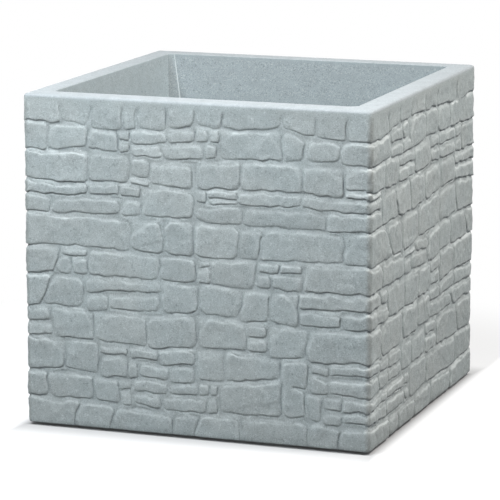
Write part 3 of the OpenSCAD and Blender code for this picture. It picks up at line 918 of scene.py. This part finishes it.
class PLANTER_OT_body(bpy.types.Operator):
    """Build the moulded body: stonework, rim, planting space, drains and sockets"""

    bl_idname = "planter.body"
    bl_label = "Body"

    def execute(self, context):
        sizes = context.scene.planter_body
        step = detail_step()
        columns = wall_columns(step)
        low = BASE_Z + sizes.base_r
        high = TOP_Z - sizes.edge_r - sizes.shoulder_d
        count = math.ceil((high - low) / step)
        levels = low + np.arange(count + 1) * (high - low) / count
        along, level = np.meshgrid(columns, levels, indexing="ij")
        fields = stonework(along, level)

        shell = Shell()
        stored_fields = [[], [], []]
        point, out = wall_path(columns)

        def wall_ring(row, z, inset):
            depth = fields[0][:, row] + inset
            flat = point - out * depth[:, None]
            for values, field in zip(stored_fields, fields[1:]):
                values.extend(field[:, row].tolist())
            return shell.ring([(x, y, z) for x, y in flat.tolist()])

        edge_steps = 6
        wall = []
        for k in range(edge_steps):
            angle = math.pi / 2 * (1 - k / edge_steps)
            inset = sizes.base_r * (1 - math.cos(angle))
            z = BASE_Z + sizes.base_r * (1 - math.sin(angle))
            wall.append(wall_ring(0, z, inset))
        for row, z in enumerate(levels.tolist()):
            wall.append(wall_ring(row, z, 0.0))
        for k in range(1, edge_steps + 1):
            angle = math.pi / 2 * k / edge_steps
            inset = sizes.edge_r * (1 - math.cos(angle))
            wall.append(wall_ring(-1, high + sizes.edge_r * math.sin(angle), inset))
        wall.append(wall_ring(-1, TOP_Z, sizes.shoulder_w))
        shell.rings(wall)

        tub = self.planting_space(shell, sizes)
        shell.fill(wall[-1], [tub[0]], True)
        self.floors_and_bores(shell, sizes, wall[0], tub[-1])

        mesh = shell.mesh("planter_body")
        for name, values in zip(("joint", "edge", "shade"), stored_fields):
            inside = PAINTED_INSIDE_SHADE if name == "shade" else 0.0
            values += [inside] * (len(shell.points) - len(values))
            for k, ring in enumerate(tub[:-FLOOR_RINGS]):
                self.shade_ring(ring, name, values, k < RIM_RINGS)
            mesh.attributes.new(name, "FLOAT", "POINT").data.foreach_set("value", values)
        piece = add_piece(mesh, "planter", "body", finish_named("granite_plastic"))
        self.thin_out(context, piece, sizes.faces)
        return {"FINISHED"}

    def shade_ring(self, ring, name, values, on_rim):
        """Leaves the rim's inner edge without painted shade, paints shade on the inner walls and deeper
        shade on the slanted corners between them, and paints a highlight on the crease where each corner
        starts"""
        for side in range(4):
            start = side * (SIDE_PARTS + CORNER_PARTS)
            for part in range(SIDE_PARTS + CORNER_PARTS):
                point = ring[start + part]
                in_corner = part - SIDE_PARTS
                if name == "shade" and on_rim:
                    values[point] = 0.0
                elif name == "shade" and in_corner > 1:
                    values[point] = PAINTED_CORNER_SHADE
                elif name == "shade":
                    values[point] = PAINTED_WALL_SHADES[side % 2]
                # A painted highlight on the crease where each inner corner starts
                elif name == "edge" and in_corner == 1 and not on_rim:
                    values[point] = CREASE_HIGHLIGHT

    def planting_space(self, shell, sizes):
        """The rings from the rim's inner edge down to the planting floor"""
        lip_steps = 6
        wall_steps = 24
        floor_steps = 8

        def tub_ring(z, grow, inset):
            down = min(max((TOP_Z - z) / (TOP_Z - FLOOR_Z), 0.0), 1.0)
            radius = sizes.inner_r_top + (sizes.inner_r_floor - sizes.inner_r_top) * down
            reach_x = HALF_X - sizes.rim_w - sizes.wall_lean * down + grow - inset
            reach_y = HALF_Y - sizes.rim_w - sizes.wall_lean * down + grow - inset
            return shell.ring(inner_ring(reach_x, reach_y, radius + grow - inset, z))

        rings = []
        for k in range(lip_steps + 1):
            angle = math.pi / 2 * (1 - k / lip_steps)
            drop = sizes.lip_r * (1 - math.sin(angle))
            rings.append(tub_ring(TOP_Z - drop, sizes.lip_r * (1 - math.cos(angle)), 0.0))
        wall_top = TOP_Z - sizes.lip_r
        wall_end = FLOOR_Z + sizes.floor_r
        for k in range(1, wall_steps + 1):
            rings.append(tub_ring(wall_top + (wall_end - wall_top) * k / wall_steps, 0.0, 0.0))
        for k in range(1, floor_steps + 1):
            angle = math.pi / 2 * k / floor_steps
            z = FLOOR_Z + sizes.floor_r * (1 - math.sin(angle))
            rings.append(tub_ring(z, 0.0, sizes.floor_r * (1 - math.cos(angle))))
        shell.rings(rings)
        return rings

    def floors_and_bores(self, shell, sizes, base_ring, floor_ring):
        """The planting floor, the underside, the drains, and the sockets of the feet and vent"""
        floor_holes = []
        base_holes = []
        for name in CORNERS:
            centre = middle("drain_plug_" + name)
            upper = shell.ring(circle(centre, sizes.drain_d / 2, FLOOR_Z))
            lower = shell.ring(circle(centre, sizes.drain_d / 2, BASE_Z))
            shell.join(upper, lower)
            floor_holes.append(upper)
            base_holes.append(lower)
        sockets = [(middle("foot_" + name), sizes.socket_d, sizes.socket_h) for name in CORNERS]
        sockets.append((middle("vent_plug"), sizes.vent_d, sizes.vent_h))
        for centre, bore, depth in sockets:
            end = shell.ring(circle(centre, bore / 2, BASE_Z + depth))
            mouth = shell.ring(circle(centre, bore / 2, BASE_Z))
            shell.join(end, mouth)
            shell.fill(end, [], False)
            base_holes.append(mouth)
        shell.fill(floor_ring, floor_holes, True)
        border = sizes.base_border
        radius = 2 * sizes.corner_r
        inner_base = shell.ring(inner_ring(HALF_X - border, HALF_Y - border, radius, BASE_Z))
        shell.fill(base_ring, [inner_base], False)
        shell.fill(inner_base, base_holes, False)

    def thin_out(self, context, piece, faces):
        """Takes triangles away where the surface is nearly flat, and keeps the rest in the body's box"""
        have = sum(len(polygon.vertices) - 2 for polygon in piece.data.polygons)
        fewer = piece.modifiers.new("fewer_faces", "DECIMATE")
        fewer.ratio = min(1.0, faces / have)
        thinned = bpy.data.meshes.new_from_object(piece.evaluated_get(context.evaluated_depsgraph_get()))
        piece.modifiers.clear()
        places = np.empty(len(thinned.vertices) * 3)
        thinned.vertices.foreach_get("co", places)
        places = np.clip(places.reshape(-1, 3), (-HALF_X, -HALF_Y, BASE_Z), (HALF_X, HALF_Y, TOP_Z))
        thinned.vertices.foreach_set("co", places.ravel())
        thinned.name = "planter_body_mesh"
        piece.data = thinned
        thinned.shade_smooth()
        thinned.set_sharp_from_angle(angle=BODY_SHARP)


class PLANTER_OT_drain_plugs(bpy.types.Operator):
    """Build the four lift-out drain plugs"""

    bl_idname = "planter.drain_plugs"
    bl_label = "Drain plugs"

    def execute(self, context):
        sizes = context.scene.planter_fittings
        for name in CORNERS:
            shell = Shell()
            centre = middle("drain_plug_" + name)
            lightened = self.turned_part(shell, sizes, centre)
            lightened += self.grip(shell, sizes, centre)
            mesh = shell.mesh("drain_plug_piece_" + name)
            mark_edges(mesh, lightened)
            mesh.set_sharp_from_angle(angle=PART_SHARP)
            finish = finish_named("plug_plastic")
            add_piece(mesh, "plug_" + name, "drain_plug_" + name, finish)
        return {"FINISHED"}

    def turned_part(self, shell, sizes, centre):
        """The head with its rounded edge and the hollow stem"""
        under = SEAL_HIGH.z
        top = under + sizes.head_t
        head = (PLUG_HIGH.x - PLUG_LOW.x) / 2
        stem = sizes.stem_d / 2
        bore = stem - sizes.stem_wall
        r = sizes.round_r
        profile = [(0, under)]
        profile += [(bore - 3 * r, under), (bore - r, under - 0.5 * r), (bore, under - 2 * r)]
        profile += [(bore, PLUG_LOW.z + r), (bore + r, PLUG_LOW.z), (stem - r, PLUG_LOW.z)]
        profile += [(stem, PLUG_LOW.z + 2 * r), (stem, under), (head - r, under)]
        profile += round_corner((head - r, under + r), r, -60, 0, 2)
        profile += round_corner((head - r, top - r), r, 0, 90)
        profile += [(head - 3 * r, top), (head - 4 * r, top - 0.5 * r), (0.4 * head, top - 0.6 * r)]
        profile += [(0, top - 0.6 * r)]
        rings = turned(shell, centre, profile)
        lightened = []
        for radius, z in profile[1:-1]:
            lightened += [1.0 if radius > head - 2 * r and z > under + r else 0.0] * len(rings[0])
        return lightened + [0.0, 0.0]

    def grip(self, shell, sizes, centre):
        """The upright bar to hold the plug by, with a thicker rounded top. It gets slimmer and lower
        towards its ends."""
        base = SEAL_HIGH.z + sizes.head_t - 2 * sizes.round_r
        height = PLUG_HIGH.z - base
        half_t = sizes.grip_t / 2
        outline = [(1.0, 0.0), (0.72, 0.22), (0.66, 0.45), (0.78, 0.66), (1.0, 0.82), (0.95, 0.9)]
        outline += [(0.78, 0.96), (0.42, 1.0)]
        section = [(side * t, h) for side, part in ((1, outline), (-1, outline[::-1])) for t, h in part]
        rings = []
        lightened = []
        stations = [-1.0, -0.985, -0.94, -0.86, -0.6, 0.0, 0.6, 0.86, 0.94, 0.985, 1.0]
        for place in stations:
            slim = max(0.25, math.sqrt(max(0.0, 1 - max(0.0, abs(place) - 0.8) ** 2 / 0.045)))
            x = centre.x + place * sizes.grip_w / 2
            low = 1 - 0.16 * ease(np.array((abs(place) - 0.6) / 0.4))
            across = half_t * slim
            up = height * low
            rings.append(shell.ring([(x, centre.y - t * across, base + h * up) for t, h in section]))
            lightened += [1.0 if h > 0.8 else 0.0 for _, h in section]
        shell.rings(rings)
        shell.faces.append(tuple(rings[0][::-1]))
        shell.faces.append(tuple(rings[-1]))
        return lightened


class PLANTER_OT_plug_seals(bpy.types.Operator):
    """Build the flat washers under the plugs"""

    bl_idname = "planter.plug_seals"
    bl_label = "Plug washers"

    def execute(self, context):
        sizes = context.scene.planter_fittings
        inner = context.scene.planter_body.drain_d / 2
        outer = (SEAL_HIGH.x - SEAL_LOW.x) / 2
        r = sizes.round_r / 2
        profile = round_corner((outer - r, SEAL_HIGH.z - r), r, 0, 90, 3)
        profile += round_corner((inner + r, SEAL_HIGH.z - r), r, 90, 180, 3)
        profile += round_corner((inner + r, SEAL_LOW.z + r), r, 180, 270, 3)
        profile += round_corner((outer - r, SEAL_LOW.z + r), r, 270, 360, 3)
        for name in CORNERS:
            shell = Shell()
            centre = middle("plug_seal_" + name)
            rings = [shell.ring(circle(centre, radius, z)) for radius, z in profile]
            shell.rings(rings + rings[:1])
            mesh = shell.mesh("plug_seal_piece_" + name)
            mark_edges(mesh, [0.5] * len(shell.points))
            add_piece(mesh, "plug_" + name, "plug_seal_" + name, finish_named("rubber"))
        return {"FINISHED"}


class PLANTER_OT_feet(bpy.types.Operator):
    """Build the four push-in rubber feet"""

    bl_idname = "planter.feet"
    bl_label = "Feet"

    def execute(self, context):
        sizes = context.scene.planter_fittings
        pad = (FOOT_HIGH.x - FOOT_LOW.x) / 2
        stud = sizes.stud_d / 2
        r = sizes.round_r
        top = FOOT_LOW.z + sizes.pad_t
        groove = 0.4 * MM
        profile = [(0, FOOT_LOW.z + groove), (0.16 * pad, FOOT_LOW.z + groove), (0.2 * pad, FOOT_LOW.z)]
        for ring in (0.38, 0.6):
            profile += [(ring * pad, FOOT_LOW.z), ((ring + 0.03) * pad, FOOT_LOW.z + groove)]
            profile += [((ring + 0.06) * pad, FOOT_LOW.z + groove), ((ring + 0.09) * pad, FOOT_LOW.z)]
        profile += round_corner((pad - 1.6 * r, FOOT_LOW.z + 1.6 * r), 1.6 * r, 270, 360)
        profile += [(pad, top - r / 3), (pad - r / 3, top), (stud + r / 2, top), (stud - r / 2, top + r / 2)]
        for barb in (0.3, 0.62):
            z = top + (FOOT_HIGH.z - top) * barb
            profile += [(stud - r / 2, z), (stud, z + r / 2), (stud - r / 2, z + 2.5 * r)]
        profile += [(stud - r / 2, FOOT_HIGH.z - 2 * r), (stud - 2 * r, FOOT_HIGH.z), (0, FOOT_HIGH.z)]
        for name in CORNERS:
            shell = Shell()
            turned(shell, middle("foot_" + name), profile)
            mesh = shell.mesh("foot_piece_" + name)
            mark_edges(mesh, [0.4] * len(shell.points))
            mesh.set_sharp_from_angle(angle=PART_SHARP)
            add_piece(mesh, "planter", "foot_" + name, finish_named("rubber"))
        return {"FINISHED"}


class PLANTER_OT_vent_plug(bpy.types.Operator):
    """Build the plug of the air vent in the base"""

    bl_idname = "planter.vent_plug"
    bl_label = "Vent plug"

    def execute(self, context):
        sizes = context.scene.planter_fittings
        head = (VENT_HIGH.x - VENT_LOW.x) / 2
        stem = sizes.vent_stem_d / 2
        top = VENT_LOW.z + sizes.vent_head_t
        r = sizes.round_r
        profile = [(0, VENT_LOW.z + 0.5 * r), (0.45 * head, VENT_LOW.z + 0.5 * r), (0.55 * head, VENT_LOW.z)]
        profile += round_corner((head - r, VENT_LOW.z + r), r, 270, 360)
        profile += [(head, top - r / 3), (head - r / 3, top), (stem, top), (stem, VENT_HIGH.z - 2 * r)]
        profile += [(stem - r, VENT_HIGH.z), (0, VENT_HIGH.z)]
        shell = Shell()
        turned(shell, middle("vent_plug"), profile, 48)
        mesh = shell.mesh("vent_plug_piece")
        mark_edges(mesh, [0.3] * len(shell.points))
        mesh.set_sharp_from_angle(angle=PART_SHARP)
        add_piece(mesh, "planter", "vent_plug", finish_named("plug_plastic"))
        return {"FINISHED"}


class PLANTER_OT_studio(bpy.types.Operator):
    """Set up the floor, the lamps, the surroundings and the camera"""

    bl_idname = "planter.studio"
    bl_label = "Studio"

    def execute(self, context):
        studio = context.scene.planter_studio
        self.floor(studio)
        self.lamps(studio)
        self.surroundings(context, studio)
        self.camera(context, studio)
        context.scene.view_settings.view_transform = "Standard"
        return {"FINISHED"}

    def seen(self, tree):
        """1 for what the camera sees, straight or in a reflection, and 0 for light on its way"""
        path = add_node(tree, "ShaderNodeLightPath").outputs
        straight = calculate(tree, "MAXIMUM", path["Is Camera Ray"], path["Is Glossy Ray"])
        return calculate(tree, "MAXIMUM", straight, path["Is Transmission Ray"])

    def floor(self, studio):
        """A round floor that keeps the planter's shadow and runs out into the white surroundings. For
        the camera it glows brighter from the walls outward: a painted contact shadow, which also softens
        the shadow's edge."""
        shell = Shell()
        shell.fill(shell.ring(circle(Vector((0, 0)), studio.floor_r, 0.0, 96)), [], True)
        plane = bpy.data.objects.new("studio_floor", shell.mesh("studio_floor"))
        bpy.context.scene.collection.objects.link(plane)
        material = bpy.data.materials.new("studio_floor")
        material.use_nodes = True
        tree = material.node_tree
        tree.nodes.remove(tree.nodes["Principled BSDF"])
        seen = self.seen(tree)
        colour = blend_colour(tree, seen, studio.floor, SEEN_FLOOR)
        matt = add_node(tree, "ShaderNodeBsdfDiffuse", {}, {"Color": colour}).outputs[0]
        place = add_node(tree, "ShaderNodeTexCoord").outputs["Object"]
        apart = add_node(tree, "ShaderNodeSeparateXYZ", {}, {0: place})
        out_x, out_y = beyond_walls(tree, apart)
        # A painted contact shadow: the floor glows less close to the walls and in the gap under the base
        contact = between(tree, out_y, -3 * MM, 0.0, 0.03, 0.35)
        in_front = calculate(tree, "ADD", contact, between(tree, out_y, 0.0, 45 * MM, 0.0, 0.28))
        at_side = between(tree, out_x, -9 * MM, 15 * MM, 0.02, 0.8)
        brightness = calculate(tree, "MAXIMUM", in_front, at_side)
        painted_light_strength = calculate(tree, "MULTIPLY", seen, brightness)
        painted_floor_light = add_node(tree, "ShaderNodeEmission", {}, {"Strength": painted_light_strength})
        near = add_node(tree, "ShaderNodeAddShader", {}, {0: matt, 1: painted_floor_light.outputs[0]}).outputs[0]
        white = add_node(tree, "ShaderNodeEmission", {}, {"Strength": 1.0}).outputs[0]
        away = add_node(tree, "ShaderNodeVectorMath", {"operation": "LENGTH"}, {0: place}).outputs["Value"]
        far = between(tree, away, 0.6 * studio.shadow_r, studio.shadow_r)
        amount = calculate(tree, "MULTIPLY", far, seen)
        mixed = add_node(tree, "ShaderNodeMixShader", {}, {0: amount, 1: near, 2: white}).outputs[0]
        tree.links.new(mixed, tree.nodes["Material Output"].inputs["Surface"])
        plane.data.materials.append(material)

    def lamps(self, studio):
        """Six large soft lamps. The two at the right are a little warmer. The one behind stands about
        level with the rim, so it lights the planting space only at a slant."""
        for name, power, place, size, colour in (
            ("front", studio.front, (-0.45, -1.0, 1.25), 0.35, COOL),
            ("side", studio.side, (1.1, -0.15, 1.75), 0.3, WARM),
            ("over", studio.over, (-0.05, -0.5, 1.05), 0.25, NEUTRAL),
            ("low", studio.low, (0.2, -1.8, 0.8), 0.7, NEUTRAL),
            ("low_side", studio.low_side, (1.8, 0.0, 0.8), 0.7, WARM),
            ("back", studio.back, (-1.3, 1.45, 0.38), 0.4, NEUTRAL),
        ):
            lamp = bpy.data.lights.new("lamp_" + name, "AREA")
            lamp.energy = power
            lamp.size = size
            lamp.color = colour
            stand = bpy.data.objects.new("lamp_" + name, lamp)
            stand.location = place
            aim = Vector((0, 0, 0.2)) - Vector(place)
            stand.rotation_euler = aim.to_track_quat("-Z", "Y").to_euler()
            bpy.context.scene.collection.objects.link(stand)

    def surroundings(self, context, studio):
        """White to the eye, and an even light from all round where the sky has a strength"""
        world = bpy.data.worlds.new("studio")
        world.use_nodes = True
        tree = world.node_tree
        shade = tree.nodes["Background"]
        seen = self.seen(tree)
        shade.inputs["Color"].default_value = (1.0, 1.0, 1.0, 1.0)
        strength = between(tree, seen, 0.0, 1.0, studio.sky, 1.0)
        tree.links.new(strength, shade.inputs["Strength"])
        context.scene.world = world

    def camera(self, context, studio):
        """The camera, where the photograph was taken from"""
        right = Vector((math.cos(studio.azimuth), math.sin(studio.azimuth), 0))
        forward = Vector((
            -math.sin(studio.azimuth) * math.cos(studio.elevation),
            math.cos(studio.azimuth) * math.cos(studio.elevation),
            -math.sin(studio.elevation),
        ))
        aim = Vector((0, 0, TOP_Z / 2)) + right * studio.aim_right + Vector((0, 0, studio.aim_up))
        lens = bpy.data.cameras.new("camera")
        lens.lens = studio.lens
        lens.sensor_width = FILM_W
        camera = bpy.data.objects.new("camera", lens)
        camera.location = aim - forward * studio.distance
        camera.rotation_mode = "QUATERNION"
        camera.rotation_quaternion = forward.to_track_quat("-Z", "Y")
        context.scene.collection.objects.link(camera)
        context.scene.camera = camera


class PLANTER_PT_panel(bpy.types.Panel):
    """The planter's pieces, sizes and colours"""

    bl_label = "Dry-Stone Planter"
    bl_idname = "PLANTER_PT_panel"
    bl_space_type = "VIEW_3D"
    bl_region_type = "UI"
    bl_category = "Planter"

    def draw(self, context):
        for operator in OPERATORS:
            self.layout.operator(operator.bl_idname)
        for group in GROUPS:
            box = self.layout.box()
            for name in GROUPS[group].__annotations__:
                box.prop(getattr(context.scene, group), name)


GROUPS = {
    "planter_body": PlanterBodySizes,
    "planter_fittings": PlanterFittingSizes,
    "planter_colours": PlanterColours,
    "planter_studio": PlanterStudio,
}
OPERATORS = (
    PLANTER_OT_body,
    PLANTER_OT_drain_plugs,
    PLANTER_OT_plug_seals,
    PLANTER_OT_feet,
    PLANTER_OT_vent_plug,
    PLANTER_OT_studio,
)


def register():
    """Makes the sizes, the colours, the operators and the panel known to Blender"""
    for made in (*GROUPS.values(), *OPERATORS, PLANTER_PT_panel):
        bpy.utils.register_class(made)
    for name, group in GROUPS.items():
        setattr(bpy.types.Scene, name, PointerProperty(type=group))


def unregister():
    """Takes all of them away again"""
    for name in GROUPS:
        delattr(bpy.types.Scene, name)
    for made in reversed((*GROUPS.values(), *OPERATORS, PLANTER_PT_panel)):
        bpy.utils.unregister_class(made)


def main():
    """Builds every piece and the studio"""
    register()
    bpy.ops.planter.body()
    bpy.ops.planter.drain_plugs()
    bpy.ops.planter.plug_seals()
    bpy.ops.planter.feet()
    bpy.ops.planter.vent_plug()
    bpy.ops.planter.studio()


if __name__ == "__main__":
    main()
